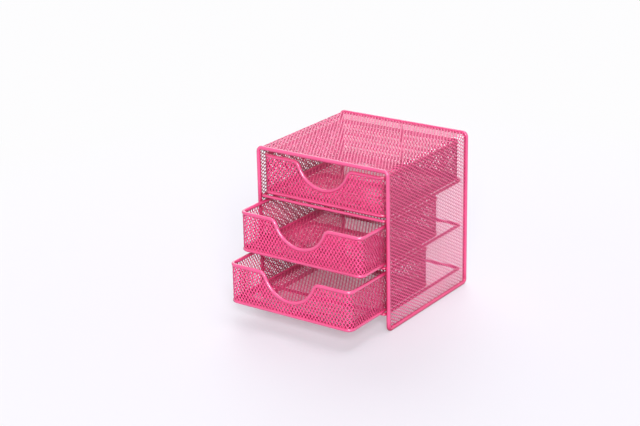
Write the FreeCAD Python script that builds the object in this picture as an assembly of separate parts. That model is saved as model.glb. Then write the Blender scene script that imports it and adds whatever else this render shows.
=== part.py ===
import FreeCAD, Part
import math
import os

# Desktop mini drawers: a wire and diamond mesh case, open at the front and the rear, with
# three identical mesh drawers. Millimetres. The case is centred on x and y, its front
# faces -y, and it stands on z = 0.

Vector = FreeCAD.Vector
RIGHT = Vector(1, 0, 0)
LEFT = Vector(-1, 0, 0)
BACK = Vector(0, 1, 0)
FORWARD = Vector(0, -1, 0)
UP = Vector(0, 0, 1)
DOWN = Vector(0, 0, -1)

# Case, measured over the frame wire, and the bends of the wire's centre line
case_width = 150.0
case_depth = 145.4
case_height = 159.4
frame_wire = 4.0
frame_bend = 4.0

# Runner loops, and how far their front wires stand ahead of the posts' centres
runner_wire = 3.0
runner_bend = 2.5
lowest_runner = 17.0
runner_lead = 0.8

# Upright wire behind the drawers, and how far its centre stands ahead of the rear posts' centres
support_wire = 2.2
support_inset = 1.55

# Drawers
drawer_wire = 3.6
drawer_bend = 6.0
drawer_side_clearance = 1.4
drawer_front_setback = 2.0
drawer_rear_clearance = 1.15
drawer_head_clearance = 2.7
top_headroom = 3.7
running_gap = 0.3

# How far each drawer stands out of the case, from the lowest to the highest
pull_outs = {"bottom": 57.75, "middle": 39.0, "top": 0.0}

# Finger notch in the drawer front, on the centre line of the rim wire
notch_depth = 23.7
notch_radius = 29.5
notch_shoulder = 7.0

# Mesh sheets, and the hairline left where a sheet or wire is welded to a wire
sheet = 0.6
weld_gap = 0.15
top_mesh_rise = 0.6
wall_offset = 0.7
floor_edge_width = 10.0

# Diamonds of the mesh: the pitch across and along, the open share and the plain edge
case_pitch_across = 9.2
case_pitch_along = 15.3
fold_pitch_across = 4.5
fold_pitch_along = 9.0
wall_pitch_across = 6.0
wall_pitch_along = 10.5
open_share = 0.8
plain_edge = 1.1
gap_overrun = 5.0

# Case, worked out
post_x = (case_width - frame_wire) / 2
post_y = (case_depth - frame_wire) / 2
base_z = frame_wire / 2
top_z = case_height - frame_wire / 2
mesh_y = post_y - frame_wire / 2 - weld_gap
mesh_corner = frame_bend - frame_wire / 2 - weld_gap
top_mesh_z = top_z + top_mesh_rise
fold_radius = frame_bend - sheet / 2
fold_x = post_x - fold_radius
fold_z = top_mesh_z - fold_radius
side_mesh_low = frame_wire + weld_gap

# Support wire and runner loops, worked out
support_y = post_y - support_inset
support_front = support_y - support_wire / 2
runner_x = post_x - frame_wire / 2 - weld_gap - runner_wire / 2
runner_front = -post_y - runner_lead
runner_rear = support_front - weld_gap - runner_wire / 2
drawer_ceiling = case_height - frame_wire - top_headroom
runner_span = drawer_ceiling + drawer_head_clearance + runner_wire / 2 - lowest_runner
runner_pitch = runner_span / len(pull_outs)

# Drawer, worked out on the centre lines of its wires, with the drawer closed
drawer_x = post_x - frame_wire / 2 - drawer_side_clearance - drawer_wire / 2
drawer_front = -case_depth / 2 + drawer_front_setback + drawer_wire / 2
drawer_rear = support_front - drawer_rear_clearance - drawer_wire / 2
base_above_runner = runner_wire / 2 + running_gap + drawer_wire / 2
drawer_height = runner_pitch - runner_wire - running_gap - drawer_head_clearance
rim_rise = drawer_height - drawer_wire
wall_low = drawer_wire / 2 + weld_gap
wall_high = rim_rise - drawer_wire / 2 - weld_gap

# Finger notch, worked out: the shoulder centres and the turn of each shoulder
notch_centre = rim_rise - notch_depth + notch_radius
shoulder_reach = notch_radius + notch_shoulder
shoulder_drop = shoulder_reach - notch_depth
shoulder_x = math.sqrt(shoulder_reach ** 2 - shoulder_drop ** 2)
shoulder_turn = math.acos(shoulder_drop / shoulder_reach)
shoulder_z = rim_rise - notch_shoulder


def bent_wire(diameter, start, heading, steps):
    """A round wire from start: a number runs straight, a (heading, radius) pair bends."""
    pieces = []
    point = start
    for step in steps:
        if isinstance(step, tuple):
            target, radius = step
            axis = heading.cross(target).normalize()
            centre = point + axis.cross(heading) * radius
            ring = Part.makeCircle(diameter / 2, point, heading)
            turn = math.degrees(heading.getAngle(target))
            pieces.append(Part.Face(Part.Wire(ring)).revolve(centre, axis, turn))
            point = centre + FreeCAD.Rotation(axis, turn).multVec(point - centre)
            heading = target
        else:
            pieces.append(Part.makeCylinder(diameter / 2, step, point, heading))
            point = point + heading * step
    return pieces[0].multiFuse(pieces[1:])


def bent_ring(diameter, half_x, front, rear, height, bend, front_steps=None):
    """A closed rectangular wire, seen from above, that starts in the middle of its rear."""
    side_run = rear - front - 2 * bend
    half_run = half_x - bend
    if front_steps is None:
        front_steps = [2 * half_run]
    steps = [half_run, (FORWARD, bend), side_run, (RIGHT, bend)]
    steps += front_steps
    steps += [(BACK, bend), side_run, (LEFT, bend), half_run]
    return bent_wire(diameter, Vector(0, rear, height), LEFT, steps)


def rectangle_outline(low, high, radii):
    """A closed rectangle from low to high, each corner rounded by its own radius."""
    corners = [(low[0], low[1]), (high[0], low[1]), (high[0], high[1]), (low[0], high[1])]
    headings = [RIGHT, BACK, LEFT, FORWARD]
    joints = []
    for number, (u, v) in enumerate(corners):
        corner = Vector(u, v, 0)
        arriving = headings[number - 1]
        leaving = headings[number]
        entry = corner - arriving * radii[number]
        leave = corner + leaving * radii[number]
        centre = entry + leaving * radii[number]
        middle = centre + (corner - centre) / math.sqrt(2)
        joints.append((entry, middle, leave))
    edges = []
    for number, (entry, middle, leave) in enumerate(joints):
        if radii[number] > 0:
            edges.append(Part.Arc(entry, middle, leave).toShape())
        following = joints[(number + 1) % len(joints)][0]
        edges.append(Part.makeLine(leave, following))
    return Part.Wire(edges)


def inside_rectangle(point, low, high, radii):
    """True where the point lies inside the rounded rectangle, clear of its plain edge."""
    u, v = point
    if not low[0] + plain_edge <= u <= high[0] - plain_edge:
        return False
    if not low[1] + plain_edge <= v <= high[1] - plain_edge:
        return False
    signs = [(-1, -1), (1, -1), (1, 1), (-1, 1)]
    for (side_u, side_v), radius in zip(signs, radii):
        corner_u = low[0] if side_u < 0 else high[0]
        corner_v = low[1] if side_v < 0 else high[1]
        past_u = (u - corner_u) * side_u + radius
        past_v = (v - corner_v) * side_v + radius
        if past_u > 0 and past_v > 0 and math.hypot(past_u, past_v) > radius - plain_edge:
            return False
    return True


def diamond(u, v, half_across, half_along):
    """The corners of one gap in the mesh, clockwise, as the edge of a hole runs."""
    return [(u - half_across, v), (u, v + half_along), (u + half_across, v), (u, v - half_along)]


def closed_polygon(corners):
    points = [Vector(u, v, 0) for u, v in corners]
    return Part.makePolygon(points + points[:1])


def net(name, outline, middle, reach, pitch, fits):
    """A flat mesh sheet about local z = 0, with every whole diamond that fits."""
    half_across = pitch[0] * open_share / 2
    half_along = pitch[1] * open_share / 2
    columns = math.ceil(reach[0] / pitch[0])
    rows = math.ceil(reach[1] / pitch[1])
    gaps = []
    for row in range(-rows, rows + 1):
        for column in range(-columns, columns + 1):
            if (row + column) % 2:
                continue
            u = middle[0] + column * pitch[0] / 2
            v = middle[1] + row * pitch[1] / 2
            corners = diamond(u, v, half_across, half_along)
            if all(fits(corner) for corner in corners):
                gaps.append(closed_polygon(corners))
    print(name, "gaps", len(gaps))
    face = Part.Face([outline] + gaps)
    return face.extrude(UP * sheet).translated(DOWN * (sheet / 2))


def rectangle_net(name, low, high, radii, pitch):
    """A rectangular mesh sheet with rounded corners."""
    middle = ((low[0] + high[0]) / 2, (low[1] + high[1]) / 2)
    reach = (high[0] - low[0], high[1] - low[1])

    def fits(point):
        return inside_rectangle(point, low, high, radii)

    return net(name, rectangle_outline(low, high, radii), middle, reach, pitch, fits)


def placed(shape, across, along, origin):
    """The shape with its local x along across, its local y along along, moved to origin."""
    normal = across.cross(along)
    matrix = FreeCAD.Matrix(
        across.x, along.x, normal.x, origin.x,
        across.y, along.y, normal.y, origin.y,
        across.z, along.z, normal.z, origin.z,
        0, 0, 0, 1)
    return shape.transformed(matrix)


def quarter_strip(radius, length, pitch):
    """A quarter-round mesh strip along local z, bulging towards local x."""
    quarter = 90
    outer = Part.makeCylinder(radius + sheet / 2, length, Vector(0, 0, 0), UP, quarter)
    inner = Part.makeCylinder(radius - sheet / 2, length, Vector(0, 0, 0), UP, quarter)
    strip = outer.cut(inner)
    strip.rotate(Vector(0, 0, 0), UP, -quarter / 2)
    half_across = pitch[0] * open_share / 2
    half_along = pitch[1] * open_share / 2
    count = math.floor((length - 2 * plain_edge) / pitch[1])
    gaps = []
    for number in range(count):
        height = length / 2 + (number - (count - 1) / 2) * pitch[1]
        outline = closed_polygon(diamond(0, 0, half_across, half_along))
        gap = Part.Face(outline).extrude(UP * (radius + gap_overrun))
        gaps.append(placed(gap, BACK, UP, Vector(0, 0, height)))
    return strip.cut(gaps)


def frame():
    """One closed wire: front arch, base runs on both sides and rear arch."""
    width_run = 2 * (post_x - frame_bend)
    depth_run = 2 * (post_y - frame_bend)
    post_run = top_z - base_z - 2 * frame_bend
    steps = [width_run / 2, (DOWN, frame_bend), post_run, (BACK, frame_bend), depth_run,
             (UP, frame_bend), post_run, (LEFT, frame_bend), width_run, (DOWN, frame_bend),
             post_run, (FORWARD, frame_bend), depth_run, (UP, frame_bend), post_run,
             (RIGHT, frame_bend), width_run / 2]
    return bent_wire(frame_wire, Vector(0, -post_y, top_z), RIGHT, steps)


def side_mesh():
    """A side wall on x = 0, from the base run up to where the sheet folds over the top."""
    low = (side_mesh_low, -mesh_y)
    high = (fold_z, mesh_y)
    radii = (mesh_corner, 0, 0, mesh_corner)
    panel = rectangle_net("side", low, high, radii, (case_pitch_across, case_pitch_along))
    return placed(panel, UP, BACK, Vector(0, 0, 0))


def fold_mesh(side):
    """The rounded fold between a side wall and the top."""
    strip = quarter_strip(fold_radius, 2 * mesh_y, (fold_pitch_across, fold_pitch_along))
    diagonal = (RIGHT * side + UP).normalize()
    tangent = BACK.cross(diagonal)
    return placed(strip, diagonal, tangent, Vector(side * fold_x, -mesh_y, fold_z))


def top_mesh():
    """The flat top between the two folds."""
    high = (fold_x, mesh_y)
    low = (-fold_x, -mesh_y)
    panel = rectangle_net("top", low, high, (0, 0, 0, 0), (case_pitch_across, case_pitch_along))
    return placed(panel, RIGHT, BACK, Vector(0, 0, top_mesh_z))


def support_bar():
    """The upright wire that ties the rear wires of the runner loops together."""
    low = lowest_runner - runner_wire / 2
    length = top_z - frame_wire / 2 - weld_gap - low
    return Part.makeCylinder(support_wire / 2, length, Vector(0, support_y, low), UP)


def runner_loop(height):
    """A rectangular wire loop that one drawer slides on."""
    return bent_ring(runner_wire, runner_x, runner_front, runner_rear, height, runner_bend)


def rim_wire():
    """The upper wire of a drawer, bent down around the finger notch."""
    straight = drawer_x - drawer_bend - shoulder_x
    falling = RIGHT * math.cos(shoulder_turn) + DOWN * math.sin(shoulder_turn)
    rising = RIGHT * math.cos(shoulder_turn) + UP * math.sin(shoulder_turn)
    steps = [straight, (falling, notch_shoulder), (rising, notch_radius),
             (RIGHT, notch_shoulder), straight]
    return bent_ring(drawer_wire, drawer_x, drawer_front, drawer_rear, rim_rise, drawer_bend,
                     steps)


def base_wire():
    """The lower wire of a drawer."""
    return bent_ring(drawer_wire, drawer_x, drawer_front, drawer_rear, 0, drawer_bend)


def notched_outline(half_width):
    """The drawer front in x and z above the base wire, with the notch cut from its top."""
    offset = drawer_wire / 2 + weld_gap
    large = notch_radius + offset
    small = notch_shoulder - offset

    def shoulder_point(side, angle):
        return Vector(side * (shoulder_x - small * math.sin(angle)),
                      shoulder_z + small * math.cos(angle), 0)

    def shoulder(side):
        points = [shoulder_point(side, shoulder_turn * share) for share in (0, 1 / 2, 1)]
        return Part.Arc(*points).toShape(), points

    right_arc, right_points = shoulder(1)
    left_arc, left_points = shoulder(-1)
    bottom = Vector(0, notch_centre - large, 0)
    main_arc = Part.Arc(right_points[-1], bottom, left_points[-1]).toShape()
    corners = [Vector(-half_width, wall_high, 0), Vector(-half_width, wall_low, 0),
               Vector(half_width, wall_low, 0), Vector(half_width, wall_high, 0)]
    lines = [Part.makeLine(left_points[0], corners[0])]
    for start, end in zip(corners, corners[1:]):
        lines.append(Part.makeLine(start, end))
    lines.append(Part.makeLine(corners[-1], right_points[0]))
    return Part.Wire(Part.__sortEdges__(lines + [right_arc, main_arc, left_arc]))


def clear_of_notch(point):
    """True where the point lies outside the notch and its plain edge."""
    offset = drawer_wire / 2 + weld_gap + plain_edge
    x, z = abs(point[0]), point[1]
    if math.hypot(x, z - notch_centre) < notch_radius + offset:
        return False
    if x < shoulder_x and z > shoulder_z:
        return math.hypot(x - shoulder_x, z - shoulder_z) < notch_shoulder - offset
    return True


def corner_strip(side, end, y):
    """The rounded mesh corner of a drawer; side is -1 left or 1 right, end -1 front or 1 rear."""
    strip = quarter_strip(drawer_bend + wall_offset, wall_high - wall_low,
                          (wall_pitch_across, wall_pitch_along))
    strip.rotate(Vector(0, 0, 0), UP, math.degrees(math.atan2(end, side)))
    return strip.translated(Vector(side * (drawer_x - drawer_bend), y - end * drawer_bend, wall_low))


def drawer_front_mesh():
    """The notched front sheet, wrapped round both front corners."""
    half_width = drawer_x - drawer_bend
    low = (-half_width, wall_low)
    high = (half_width, wall_high)

    def fits(point):
        return inside_rectangle(point, low, high, (0, 0, 0, 0)) and clear_of_notch(point)

    middle = (0, (wall_low + wall_high) / 2)
    reach = (2 * half_width, wall_high - wall_low)
    pitch = (wall_pitch_across, wall_pitch_along)
    panel = net("front", notched_outline(half_width), middle, reach, pitch, fits)
    flat = placed(panel, RIGHT, UP, Vector(0, drawer_front - wall_offset, 0))
    corners = [corner_strip(side, -1, drawer_front) for side in (-1, 1)]
    return flat.multiFuse(corners)


def drawer_rear_mesh():
    """The rear sheet, wrapped round both rear corners."""
    half_width = drawer_x - drawer_bend
    low = (-half_width, wall_low)
    high = (half_width, wall_high)
    pitch = (wall_pitch_across, wall_pitch_along)
    panel = rectangle_net("drawer rear", low, high, (0, 0, 0, 0), pitch)
    flat = placed(panel, RIGHT, UP, Vector(0, drawer_rear + wall_offset, 0))
    corners = [corner_strip(side, 1, drawer_rear) for side in (-1, 1)]
    return flat.multiFuse(corners)


def drawer_side_mesh():
    """A flat side sheet on x = 0, between the wrapped corners."""
    low = (drawer_front + drawer_bend + weld_gap, wall_low)
    high = (drawer_rear - drawer_bend - weld_gap, wall_high)
    pitch = (wall_pitch_across, wall_pitch_along)
    panel = rectangle_net("drawer side", low, high, (0, 0, 0, 0), pitch)
    return placed(panel, BACK, UP, Vector(0, 0, 0))


def floor_rectangle(margin):
    """The lowest and highest corner of a rectangle inside the base wire, and its corner radii."""
    low = (margin - drawer_x, drawer_front + margin)
    high = (drawer_x - margin, drawer_rear - margin)
    return low, high, [max(drawer_bend - margin, 0)] * 4


def floor_mesh():
    """The flat floor sheet at the height of the base wire's centre."""
    low, high, radii = floor_rectangle(drawer_wire / 2 + weld_gap)
    return rectangle_net("floor", low, high, radii, (case_pitch_across, case_pitch_along))


def floor_edge():
    """The inturned lower edge of the walls, a flat ring that lies on the floor sheet."""
    inset = drawer_wire / 2 + weld_gap
    outer = rectangle_outline(*floor_rectangle(inset))
    inner = rectangle_outline(*floor_rectangle(inset + floor_edge_width))
    ring = Part.Face(outer).cut(Part.Face(inner))
    return ring.extrude(UP * sheet).translated(UP * (sheet / 2 + weld_gap))


def drawer():
    """All the pieces of a closed drawer, with its base wire on z = 0."""
    side = drawer_side_mesh()
    side_reach = drawer_x + wall_offset
    return {
        "rim_wire": rim_wire(),
        "base_wire": base_wire(),
        "front_mesh": drawer_front_mesh(),
        "rear_mesh": drawer_rear_mesh(),
        "left_mesh": side.translated(LEFT * side_reach),
        "right_mesh": side.translated(RIGHT * side_reach),
        "floor_mesh": floor_mesh(),
        "floor_edge": floor_edge(),
    }


def case():
    """All the pieces that stand still."""
    side = side_mesh()
    pieces = {
        "frame_wire": frame(),
        "left_side_mesh": side.translated(LEFT * post_x),
        "right_side_mesh": side.translated(RIGHT * post_x),
        "left_fold_mesh": fold_mesh(-1),
        "right_fold_mesh": fold_mesh(1),
        "top_mesh": top_mesh(),
        "rear_support_bar": support_bar(),
    }
    loop = runner_loop(lowest_runner)
    for level, name in enumerate(("lower", "middle", "upper")):
        pieces[name + "_runner_loop"] = loop.translated(UP * (level * runner_pitch))
    return pieces


os.makedirs("parts", exist_ok=True)
parts = case()
drawer_pieces = drawer()
for level, (name, pull_out) in enumerate(pull_outs.items()):
    base = lowest_runner + level * runner_pitch + base_above_runner
    for piece, shape in drawer_pieces.items():
        parts[f"{name}_drawer_{piece}"] = shape.translated(Vector(0, -pull_out, base))
for name, shape in parts.items():
    print(name, len(shape.Solids), shape.isValid(), round(shape.Volume, 1))
    shape.exportStep(f"parts/{name}.step")
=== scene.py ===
import math

import bmesh
import bpy
import numpy as np
from mathutils import Matrix, Vector


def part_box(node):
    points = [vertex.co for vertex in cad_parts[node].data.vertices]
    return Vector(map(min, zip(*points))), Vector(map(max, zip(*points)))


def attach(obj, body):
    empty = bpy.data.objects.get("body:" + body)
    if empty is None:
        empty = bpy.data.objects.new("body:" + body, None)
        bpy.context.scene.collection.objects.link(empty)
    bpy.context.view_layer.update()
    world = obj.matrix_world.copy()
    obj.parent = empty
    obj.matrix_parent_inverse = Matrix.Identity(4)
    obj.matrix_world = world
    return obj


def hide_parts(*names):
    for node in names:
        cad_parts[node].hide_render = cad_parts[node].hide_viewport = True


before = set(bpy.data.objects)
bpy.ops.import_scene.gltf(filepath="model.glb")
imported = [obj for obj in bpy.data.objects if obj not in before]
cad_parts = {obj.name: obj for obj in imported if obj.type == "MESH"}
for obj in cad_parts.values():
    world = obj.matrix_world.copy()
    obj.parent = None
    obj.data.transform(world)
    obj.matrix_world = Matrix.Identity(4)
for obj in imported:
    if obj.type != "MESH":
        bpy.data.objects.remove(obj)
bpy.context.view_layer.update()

MM = 0.001
DRAWERS = ("top", "middle", "bottom")

# Wire and sheet sizes
FRAME_WIRE = 4.0 * MM
FRAME_BEND = 4.0 * MM
DRAWER_WIRE = 3.6 * MM
DRAWER_BEND = 6.0 * MM
SHEET = 0.5 * MM
WALL_OFFSET = 0.7 * MM

# Diamonds: short pitch, long pitch and bond length
CASE_PITCH = (3.47 * MM, 6.15 * MM)
WALL_PITCH = (3.7 * MM, 5.7 * MM)
FLOOR_PITCH = (3.5 * MM, 6.1 * MM)
BOND = 0.9 * MM

# Width of the strands
CASE_STRAND = 0.61 * MM
WALL_STRAND = 0.78 * MM
FLOOR_STRAND = 0.70 * MM

# How far one edge of each strand stands proud of the sheet and the other lies low
CASE_TILT = 0.04 * MM
WALL_TILT = 0.13 * MM
FLOOR_TILT = 0.02 * MM

# Finger notch on the centre line of the rim wire
NOTCH_DEPTH = 23.7 * MM
NOTCH_RADIUS = 29.5 * MM
NOTCH_SHOULDER = 7.0 * MM

# Inturned lower edge of the drawer walls, which lies on the floor sheet
EDGE_WIDTH = 10.0 * MM

# Points nearer than this are one point
MERGE = 0.00002

# Painted shade by ambient occlusion: how near other pieces count, the open share at which the
# paint counts as closed in, and how much colour is left there
PAINTED_SHADE_REACH = 14.0 * MM
CLOSED_IN = 0.42
MESH_SHADE = 0.3
WIRE_SHADE = 0.6

# Paints: name, colour, roughness, coat, specular level, scale of the orange peel and painted
# shade
# One pink coat in three copies: the case copy is lighter as painted light, the wire copy darker
# as painted shade
WIRE_PAINT_PAINTED_DARKER = ("pink_wire_paint_painted_darker", (0.73, 0.07, 0.225), 0.30, 0.9, 0.4, 900, WIRE_SHADE)
MESH_PAINT = ("pink_mesh_paint", (0.90, 0.075, 0.26), 0.38, 0.3, 0.3, 1400, MESH_SHADE)
CASE_PAINT_PAINTED_LIGHTER = ("pink_case_paint_painted_lighter", (0.96, 0.10, 0.31), 0.34, 0.6, 0.25, 1400, MESH_SHADE)

# World light on surfaces, and as rays from the camera and from gloss see it
WORLD_LIGHT = 0.12
WORLD_SEEN = 1.0

# Lamps: name, the direction that the light comes from, spread in degrees and strength
LAMPS = (
    ("key", (0.08, 0.14, 1.0), 30, 1.15),
    ("fill", (0.85, -1.1, 0.75), 25, 4.0),
    ("back", (-0.75, 0.95, 1.0), 40, 0.8),
)

# Table top: half its side, its colour, the glow that those rays see on it, and the distances
# between which it turns plain white for them
TABLE_REACH = 4.0
TABLE_COLOUR = (0.435, 0.44, 0.48, 1)
GLOW_COLOUR = (1.0, 0.91, 0.98, 1)
GLOW = 0.335
WHITE_COLOUR = (0.985, 0.98, 0.99, 1)
WHITE_FROM = 0.2
WHITE_FULL = 0.7


def camera():
    """The photograph's view: azimuth, height angle, distance, roll and lens."""
    azimuth = math.radians(35.18)
    elevation = math.radians(19.93)
    roll = math.radians(-1.18)
    distance = 1.614
    target = Vector((-0.05268, 0, 0.07267))
    back = Vector((math.sin(azimuth) * math.cos(elevation),
                   -math.cos(azimuth) * math.cos(elevation), math.sin(elevation)))
    side = back.cross(Vector((0, 0, 1))).normalized() * -1
    rise = back.cross(side)
    right = side * math.cos(roll) + rise * math.sin(roll)
    up = rise * math.cos(roll) - side * math.sin(roll)
    data = bpy.data.cameras.new("camera")
    data.lens = 91.05
    data.sensor_width = 36
    view = bpy.data.objects.new("camera", data)
    turn = Matrix((right, up, back)).transposed().to_4x4()
    view.matrix_world = Matrix.Translation(target + back * distance) @ turn
    bpy.context.scene.collection.objects.link(view)
    bpy.context.scene.camera = view


# Expanded mesh


def tiles(low, high, pitch, columns=None):
    """The centres of the diamonds that cover the flat region, as whole half pitches."""
    half_u = pitch[0] / 2
    half_v = pitch[1] / 2
    if columns is None:
        first_u = math.floor(low[0] / half_u) - 1
        last_u = math.ceil(high[0] / half_u) + 1
    else:
        first_u = 0
        last_u = 2 * columns - 1
    first_v = math.floor(low[1] / half_v) - 1
    last_v = math.ceil(high[1] / half_v) + 1
    u, v = np.meshgrid(np.arange(first_u, last_u + 1), np.arange(first_v, last_v + 1))
    even = (u + v) % 2 == 0
    return u[even], v[even]


def diamond_net(low, high, pitch, strand, tilt, keep, clamp, columns=None):
    """The flat expanded mesh over a region: points (u, v, height) and faces.

    Each tile is a hexagon with a smaller hexagonal hole. keep drops whole tiles, and clamp
    moves what lies beyond the region's edge onto it. columns closes the net on itself.
    """
    tile_u, tile_v = tiles(low, high, pitch, columns)
    half_u = pitch[0] / 2
    half_v = pitch[1] / 2
    kept = keep(tile_u * half_u, tile_v * half_v)
    tile_u = tile_u[kept]
    tile_v = tile_v[kept]
    count = len(tile_u)

    # Outer corners, anticlockwise from the right end of the right bond, as lattice places
    bond = BOND / 2
    steps = ((1, 0, -1), (1, 0, 1), (0, 1, -1), (-1, 0, 1), (-1, 0, -1), (0, -1, 1))
    keys = np.empty((count, 6, 3), np.int64)
    for corner, (step_u, step_v, side) in enumerate(steps):
        keys[:, corner, 0] = tile_u + step_u
        keys[:, corner, 1] = tile_v + step_v
        keys[:, corner, 2] = side
    if columns is not None:
        keys[:, :, 0] %= 2 * columns
    unique, number = np.unique(keys.reshape(-1, 3), axis=0, return_inverse=True)
    outer = number.reshape(count, 6)
    outer_points = np.stack((unique[:, 0] * half_u, unique[:, 1] * half_v + unique[:, 2] * bond,
                             np.zeros(len(unique))), axis=1)

    # Inner corners: the hole, whose right side stands proud and whose left side lies low
    slope = math.atan2(half_u, half_v - 2 * bond)
    hole_u = half_u - strand
    reach_v = half_v - bond - strand / 2 / math.sin(slope)
    hole_v = reach_v - hole_u / math.tan(slope)
    hole = np.array(((hole_u, -hole_v, tilt), (hole_u, hole_v, tilt), (0, reach_v, 0),
                     (-hole_u, hole_v, -tilt), (-hole_u, -hole_v, -tilt), (0, -reach_v, 0)))
    centres = np.stack((tile_u * half_u, tile_v * half_v, np.zeros(count)), axis=1)
    inner_points = (centres[:, None, :] + hole[None, :, :]).reshape(-1, 3)

    flat = np.concatenate((outer_points, inner_points))
    spans = len(outer_points)
    inner = spans + np.arange(count * 6).reshape(count, 6)
    flat[:, :2] = clamp(flat[:, :2])
    below = len(flat)
    points = np.concatenate((flat + (0, 0, SHEET / 2), flat - (0, 0, SHEET / 2)))

    following = [1, 2, 3, 4, 5, 0]
    top = np.stack((outer, outer[:, following], inner[:, following], inner), axis=2)
    wall = np.stack((inner, inner[:, following], inner[:, following] + below, inner + below),
                    axis=2)
    bottom = np.stack((outer + below, inner + below, inner[:, following] + below,
                       outer[:, following] + below), axis=2)
    rim = edge_walls(outer, outer[:, following], below)
    faces = np.concatenate((top.reshape(-1, 4), wall.reshape(-1, 4), bottom.reshape(-1, 4), rim))
    return points, faces


def edge_walls(starts, ends, below):
    """Side walls where a tile has no neighbour."""
    starts = starts.reshape(-1)
    ends = ends.reshape(-1)
    size = max(starts.max(), ends.max()) + 1
    forward = starts * size + ends
    backward = ends * size + starts
    open_edge = ~np.isin(forward, backward)
    a = starts[open_edge]
    b = ends[open_edge]
    return np.stack((b, a, a + below, b + below), axis=1)


def mesh_object(name, points, faces, material):
    """A smooth piece from points and faces, with collapsed faces taken out."""
    mesh = bpy.data.meshes.new(name)
    mesh.from_pydata([], [], [])
    mesh.vertices.add(len(points))
    mesh.vertices.foreach_set("co", np.asarray(points, np.float32).ravel())
    mesh.loops.add(faces.size)
    mesh.loops.foreach_set("vertex_index", faces.astype(np.int32).ravel())
    mesh.polygons.add(len(faces))
    mesh.polygons.foreach_set("loop_start", np.arange(0, faces.size, 4, dtype=np.int32))
    mesh.update(calc_edges=True)
    mesh.validate()
    work = bmesh.new()
    work.from_mesh(mesh)
    bmesh.ops.remove_doubles(work, verts=work.verts, dist=MERGE)
    bmesh.ops.dissolve_degenerate(work, edges=work.edges, dist=MERGE)
    for face in work.faces:
        face.smooth = True
    work.to_mesh(mesh)
    work.free()
    mesh.materials.append(material)
    piece = bpy.data.objects.new(name, mesh)
    bpy.context.scene.collection.objects.link(piece)
    return piece


def rectangle_clamp(low, high, radii):
    """Moves points onto a rectangle whose corners, from the lowest anticlockwise, are round."""
    signs = ((-1, -1), (1, -1), (1, 1), (-1, 1))

    def clamp(flat):
        moved = np.clip(flat, low, high)
        for (side_u, side_v), radius in zip(signs, radii):
            if radius <= 0:
                continue
            centre_u = (low[0] if side_u < 0 else high[0]) - side_u * radius
            centre_v = (low[1] if side_v < 0 else high[1]) - side_v * radius
            away_u = (moved[:, 0] - centre_u) * side_u
            away_v = (moved[:, 1] - centre_v) * side_v
            reach = np.hypot(away_u, away_v)
            beyond = (away_u > 0) & (away_v > 0) & (reach > radius)
            scale = np.where(beyond, radius / np.maximum(reach, 1e-9), 1)
            moved[:, 0] = np.where(beyond, centre_u + side_u * away_u * scale, moved[:, 0])
            moved[:, 1] = np.where(beyond, centre_v + side_v * away_v * scale, moved[:, 1])
        return moved

    return clamp


def inside(low, high):
    """Keeps the tiles whose centres lie in the rectangle."""
    def keep(u, v):
        return (u >= low[0]) & (u <= high[0]) & (v >= low[1]) & (v <= high[1])

    return keep


# Case


def shell_place(points, half_width, top, radius):
    """Folds the flat net over the case: u runs round from the left base to the right base."""
    flat_reach = half_width - radius
    arc = radius * math.pi / 2
    u = points[:, 0]
    side = np.sign(u)
    away = np.abs(u)
    height = points[:, 2]
    on_top = away <= flat_reach
    on_arc = (away > flat_reach) & (away < flat_reach + arc)
    turn = np.clip((away - flat_reach) / radius, 0, math.pi / 2)
    down = np.maximum(away - flat_reach - arc, 0)
    reach = radius + height
    x = np.where(on_top, away, flat_reach + reach * np.sin(turn))
    z = np.where(on_top, top + height, top - radius + reach * np.cos(turn) - down)
    x = np.where(on_arc | on_top, x, half_width + height)
    return np.stack((x * side, points[:, 1], z), axis=1)


def case_shell(material):
    """The sheet that is folded over the left side, the top and the right side."""
    low_corner, high_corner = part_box("frame_wire")
    radius = FRAME_WIRE / 2
    half_width = high_corner.x - radius
    half_depth = high_corner.y - radius
    top = sum(corner.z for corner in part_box("top_mesh")) / 2
    fold = FRAME_BEND - SHEET / 2
    straight = top - fold - (low_corner.z + radius)
    reach = half_width - fold + fold * math.pi / 2 + straight
    low = (-reach, -half_depth)
    high = (reach, half_depth)
    clamp = rectangle_clamp(low, high, [FRAME_BEND] * 4)
    points, faces = diamond_net(low, high, CASE_PITCH, CASE_STRAND, CASE_TILT,
                                inside(low, high), clamp)
    piece = mesh_object("case_shell_mesh", shell_place(points, half_width, top, fold), faces,
                        material)
    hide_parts("left_side_mesh", "left_fold_mesh", "top_mesh", "right_fold_mesh",
                "right_side_mesh")
    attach(piece, "case")


# Drawers


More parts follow.
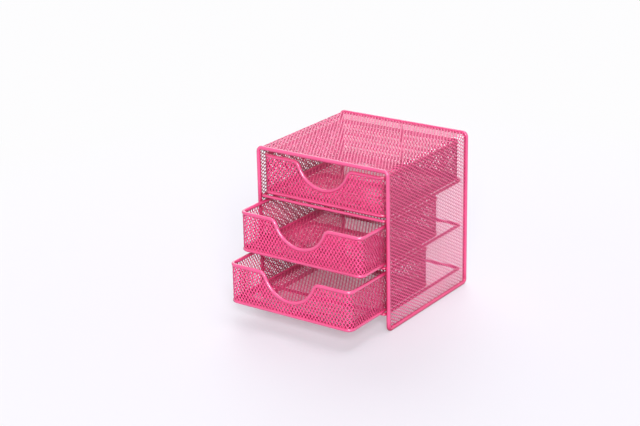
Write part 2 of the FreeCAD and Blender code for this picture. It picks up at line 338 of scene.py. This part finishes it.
def ring_place(points, half_x, front, rear, bend, offset):
    """Wraps the flat net round the drawer: u starts in the middle of the rear."""
    corner = bend + offset
    rear_run = half_x - bend
    side_run = rear - front - 2 * bend
    arc = corner * math.pi / 2
    stops = np.cumsum((0, rear_run, arc, side_run, arc, 2 * rear_run, arc, side_run, arc))
    u = np.mod(points[:, 0], stops[-1] + rear_run)
    x = np.zeros(len(u))
    y = np.zeros(len(u))
    reach = corner + points[:, 2]
    left, right = -rear_run, rear_run
    back, ahead = rear - bend, front + bend
    straight = (
        (0, (0, rear), (-1, 0), (0, 1)),
        (2, (-half_x, back), (0, -1), (-1, 0)),
        (4, (left, front), (1, 0), (0, -1)),
        (6, (half_x, ahead), (0, 1), (1, 0)),
        (8, (right, rear), (-1, 0), (0, 1)),
    )
    for number, start, heading, outward in straight:
        end = stops[number + 1] if number < 8 else stops[-1] + rear_run
        here = (u >= stops[number]) & (u <= end)
        along = u - stops[number]
        out = offset + points[:, 2]
        x = np.where(here, start[0] + heading[0] * along + outward[0] * out, x)
        y = np.where(here, start[1] + heading[1] * along + outward[1] * out, y)
    bends = ((1, left, back, 90), (3, left, ahead, 180), (5, right, ahead, 270),
             (7, right, back, 0))
    for number, centre_x, centre_y, first in bends:
        here = (u > stops[number]) & (u < stops[number + 1])
        angle = math.radians(first) + (u - stops[number]) / corner
        x = np.where(here, centre_x + reach * np.cos(angle), x)
        y = np.where(here, centre_y + reach * np.sin(angle), y)
    return np.stack((x, y, points[:, 1]), axis=1)


def notch_height(x, rim):
    """The height of the rim wire's centre line at x on the drawer front."""
    reach = NOTCH_RADIUS + NOTCH_SHOULDER
    drop = reach - NOTCH_DEPTH
    shoulder_x = math.sqrt(reach ** 2 - drop ** 2)
    tangent_x = shoulder_x * NOTCH_RADIUS / reach
    away = np.abs(x)
    inner = rim - NOTCH_DEPTH + NOTCH_RADIUS - np.sqrt(
        np.maximum(NOTCH_RADIUS ** 2 - np.minimum(away, tangent_x) ** 2, 0))
    over = np.clip(shoulder_x - away, 0, NOTCH_SHOULDER)
    outer = rim - NOTCH_SHOULDER + np.sqrt(NOTCH_SHOULDER ** 2 - over ** 2)
    return np.where(away < tangent_x, inner, np.where(away < shoulder_x, outer, rim))


def drawer_sizes(name):
    """Half width, front, rear, base height and rim height on the wires' centre lines."""
    radius = DRAWER_WIRE / 2
    low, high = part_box(f"{name}_drawer_base_wire")
    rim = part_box(f"{name}_drawer_rim_wire")[1].z - radius
    return high.x - radius, low.y + radius, high.y - radius, low.z + radius, rim


def drawer_wall(name, material):
    """One strip of mesh round the whole drawer, cut out for the finger notch."""
    half_x, front, rear, base, rim = drawer_sizes(name)
    rear_run = half_x - DRAWER_BEND
    side_run = rear - front - 2 * DRAWER_BEND
    arc = (DRAWER_BEND + WALL_OFFSET) * math.pi / 2
    length = 4 * rear_run + 2 * side_run + 4 * arc
    columns = round(length / WALL_PITCH[0])
    pitch = (length / columns, WALL_PITCH[1])
    middle = length / 2

    def keep(u, v):
        return (v > base - pitch[1] / 2) & (v < notch_height(u - middle, rim) + pitch[1] / 2)

    def clamp(flat):
        roof = notch_height(flat[:, 0] - middle, rim)
        return np.stack((flat[:, 0], np.clip(flat[:, 1], base, roof)), axis=1)

    points, faces = diamond_net((0, base), (length, rim), pitch, WALL_STRAND, WALL_TILT, keep,
                                clamp, columns)
    placed = ring_place(points, half_x, front, rear, DRAWER_BEND, WALL_OFFSET)
    piece = mesh_object(f"{name}_drawer_wall_mesh", placed, faces, material)
    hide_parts(*(f"{name}_drawer_{wall}_mesh" for wall in ("front", "rear", "left", "right")))
    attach(piece, f"{name}_drawer")


def drawer_floor(name, material):
    """The flat floor sheet, held in the base wire."""
    half_x, front, rear, base = drawer_sizes(name)[:4]
    low = (-half_x, front)
    high = (half_x, rear)
    clamp = rectangle_clamp(low, high, [DRAWER_BEND] * 4)
    points, faces = diamond_net(low, high, FLOOR_PITCH, FLOOR_STRAND, FLOOR_TILT,
                                inside(low, high), clamp)
    points[:, 2] += base
    piece = mesh_object(f"{name}_drawer_floor_sheet", points, faces, material)
    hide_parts(f"{name}_drawer_floor_mesh")
    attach(piece, f"{name}_drawer")


def drawer_edge(name, material):
    """The inturned lower edge of the walls, a second layer along the floor's edge."""
    half_x, front, rear, base = drawer_sizes(name)[:4]
    low = (-half_x, front)
    high = (half_x, rear)
    clamp = rectangle_clamp(low, high, [DRAWER_BEND] * 4)

    def keep(u, v):
        inner_u = np.abs(u) < half_x - EDGE_WIDTH
        inner_v = (v > front + EDGE_WIDTH) & (v < rear - EDGE_WIDTH)
        return inside(low, high)(u, v) & ~(inner_u & inner_v)

    points, faces = diamond_net(low, high, WALL_PITCH, WALL_STRAND, FLOOR_TILT, keep, clamp)
    points[:, 2] += base + SHEET + 2 * FLOOR_TILT
    piece = mesh_object(f"{name}_drawer_inturned_edge", points, faces, material)
    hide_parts(f"{name}_drawer_floor_edge")
    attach(piece, f"{name}_drawer")


# Materials


def painted_metal(name, colour, roughness, coat, specular, grain, shade):
    """Glossy powder coat: slight drift of the colour, orange peel, uneven gloss, and painted
    shade with a duller coat where other pieces close it in.
    """
    material = bpy.data.materials.new(name)
    material.use_nodes = True
    nodes = material.node_tree.nodes
    links = material.node_tree.links
    shader = nodes["Principled BSDF"]
    shader.inputs["Coat Roughness"].default_value = 0.12
    shader.inputs["Specular IOR Level"].default_value = specular

    place = nodes.new("ShaderNodeTexCoord")
    drift = nodes.new("ShaderNodeTexNoise")
    drift.inputs["Scale"].default_value = 38
    drift.inputs["Detail"].default_value = 4
    links.new(place.outputs["Object"], drift.inputs["Vector"])
    tint = nodes.new("ShaderNodeValToRGB")
    tint.color_ramp.elements[0].position = 0.3
    tint.color_ramp.elements[0].color = (*(c * 0.90 for c in colour), 1)
    tint.color_ramp.elements[1].position = 0.7
    tint.color_ramp.elements[1].color = (*(min(1, c * 1.06) for c in colour), 1)
    links.new(drift.outputs["Fac"], tint.inputs["Fac"])

    # Painted shade: where other pieces close the paint in, ambient occlusion darkens its colour
    # and dulls its coat
    painted_shade_occlusion = nodes.new("ShaderNodeAmbientOcclusion")
    painted_shade_occlusion.samples = 4
    painted_shade_occlusion.inputs["Distance"].default_value = PAINTED_SHADE_REACH
    open_share = nodes.new("ShaderNodeMapRange")
    open_share.inputs["From Min"].default_value = CLOSED_IN
    links.new(painted_shade_occlusion.outputs["AO"], open_share.inputs["Value"])
    shaded = nodes.new("ShaderNodeMix")
    shaded.data_type = "RGBA"
    painted_shade_colour = (colour[0] * shade, colour[1] * shade * 0.2, colour[2] * shade * 0.5, 1)
    shaded.inputs["A"].default_value = painted_shade_colour
    links.new(open_share.outputs["Result"], shaded.inputs["Factor"])
    links.new(tint.outputs["Color"], shaded.inputs["B"])
    links.new(shaded.outputs["Result"], shader.inputs["Base Color"])
    coat_share = nodes.new("ShaderNodeMath")
    coat_share.operation = "MULTIPLY"
    coat_share.inputs[1].default_value = coat
    links.new(open_share.outputs["Result"], coat_share.inputs[0])
    links.new(coat_share.outputs["Value"], shader.inputs["Coat Weight"])

    peel = nodes.new("ShaderNodeTexNoise")
    peel.inputs["Scale"].default_value = grain
    peel.inputs["Detail"].default_value = 3
    links.new(place.outputs["Object"], peel.inputs["Vector"])
    bump = nodes.new("ShaderNodeBump")
    bump.inputs["Strength"].default_value = 0.18
    bump.inputs["Distance"].default_value = 0.0002
    links.new(peel.outputs["Fac"], bump.inputs["Height"])
    links.new(bump.outputs["Normal"], shader.inputs["Normal"])

    gloss = nodes.new("ShaderNodeMapRange")
    gloss.inputs["To Min"].default_value = roughness - 0.05
    gloss.inputs["To Max"].default_value = roughness + 0.08
    links.new(drift.outputs["Fac"], gloss.inputs["Value"])
    links.new(gloss.outputs["Result"], shader.inputs["Roughness"])
    return material


def dress_wires(material):
    """The wires keep their own shape and take the paint."""
    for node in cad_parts.values():
        if not node.hide_render:
            node.data.materials.clear()
            node.data.materials.append(material)


# Studio


def seen_rays(nodes, links):
    """The output that is 1 for rays from the camera and from gloss."""
    path = nodes.new("ShaderNodeLightPath")
    seen = nodes.new("ShaderNodeMath")
    seen.operation = "MAXIMUM"
    links.new(path.outputs["Is Camera Ray"], seen.inputs[0])
    links.new(path.outputs["Is Glossy Ray"], seen.inputs[1])
    return seen.outputs["Value"]


def studio():
    """A pale table top, a white world and soft lamps."""
    scene = bpy.context.scene
    scene.view_settings.view_transform = "Standard"

    world = bpy.data.worlds.new("world")
    scene.world = world
    world.use_nodes = True
    nodes = world.node_tree.nodes
    links = world.node_tree.links
    background = nodes["Background"]
    background.inputs["Color"].default_value = (1, 1, 1, 1)
    strength = nodes.new("ShaderNodeMapRange")
    strength.inputs["To Min"].default_value = WORLD_LIGHT
    strength.inputs["To Max"].default_value = WORLD_SEEN
    links.new(seen_rays(nodes, links), strength.inputs["Value"])
    links.new(strength.outputs["Result"], background.inputs["Strength"])

    floor_mesh = bpy.data.meshes.new("floor")
    reach = TABLE_REACH
    corners = [(-reach, -reach, 0), (reach, -reach, 0), (reach, reach, 0), (-reach, reach, 0)]
    floor_mesh.from_pydata(corners, [], [(0, 1, 2, 3)])
    floor = bpy.data.objects.new("floor", floor_mesh)
    scene.collection.objects.link(floor)
    floor_mesh.materials.append(floor_material())

    for values in LAMPS:
        lamp(*values)


def floor_material():
    """A pale table top that turns to plain white away from the object."""
    material = bpy.data.materials.new("floor")
    material.use_nodes = True
    nodes = material.node_tree.nodes
    links = material.node_tree.links
    shader = nodes["Principled BSDF"]
    shader.inputs["Base Color"].default_value = TABLE_COLOUR
    shader.inputs["Roughness"].default_value = 0.6

    # Rays from the camera and from gloss see a white table that keeps the shadow
    glow = nodes.new("ShaderNodeEmission")
    glow.inputs["Color"].default_value = GLOW_COLOUR
    rays = seen_rays(nodes, links)
    lift = nodes.new("ShaderNodeMath")
    lift.operation = "MULTIPLY"
    lift.inputs[1].default_value = GLOW
    links.new(rays, lift.inputs[0])
    links.new(lift.outputs["Value"], glow.inputs["Strength"])
    table = nodes.new("ShaderNodeAddShader")
    links.new(shader.outputs["BSDF"], table.inputs[0])
    links.new(glow.outputs["Emission"], table.inputs[1])

    # The same rays see plain white further out
    white = nodes.new("ShaderNodeEmission")
    white.inputs["Color"].default_value = WHITE_COLOUR
    place = nodes.new("ShaderNodeTexCoord")
    distance = nodes.new("ShaderNodeVectorMath")
    distance.operation = "LENGTH"
    links.new(place.outputs["Object"], distance.inputs[0])
    away = nodes.new("ShaderNodeMapRange")
    away.interpolation_type = "SMOOTHSTEP"
    away.inputs["From Min"].default_value = WHITE_FROM
    away.inputs["From Max"].default_value = WHITE_FULL
    links.new(distance.outputs["Value"], away.inputs["Value"])
    seen = nodes.new("ShaderNodeMath")
    seen.operation = "MULTIPLY"
    links.new(away.outputs["Result"], seen.inputs[0])
    links.new(rays, seen.inputs[1])
    mix = nodes.new("ShaderNodeMixShader")
    links.new(seen.outputs["Value"], mix.inputs["Fac"])
    links.new(table.outputs["Shader"], mix.inputs[1])
    links.new(white.outputs["Emission"], mix.inputs[2])
    links.new(mix.outputs["Shader"], nodes["Material Output"].inputs["Surface"])
    return material


def lamp(name, source, spread, power):
    """A soft lamp far away in the direction of source."""
    data = bpy.data.lights.new(name, "SUN")
    data.angle = math.radians(spread)
    data.energy = power
    light = bpy.data.objects.new(name, data)
    light.rotation_euler = (-Vector(source)).to_track_quat("-Z", "Y").to_euler()
    bpy.context.scene.collection.objects.link(light)


camera()
studio()
# Darker wire copy of the pink coat, as painted shade
paint = painted_metal(*WIRE_PAINT_PAINTED_DARKER)
mesh_paint = painted_metal(*MESH_PAINT)
# Lighter case copy of the pink coat, as painted light
case_shell(painted_metal(*CASE_PAINT_PAINTED_LIGHTER))
for name in DRAWERS:
    drawer_wall(name, mesh_paint)
    drawer_floor(name, mesh_paint)
    drawer_edge(name, mesh_paint)
dress_wires(paint)
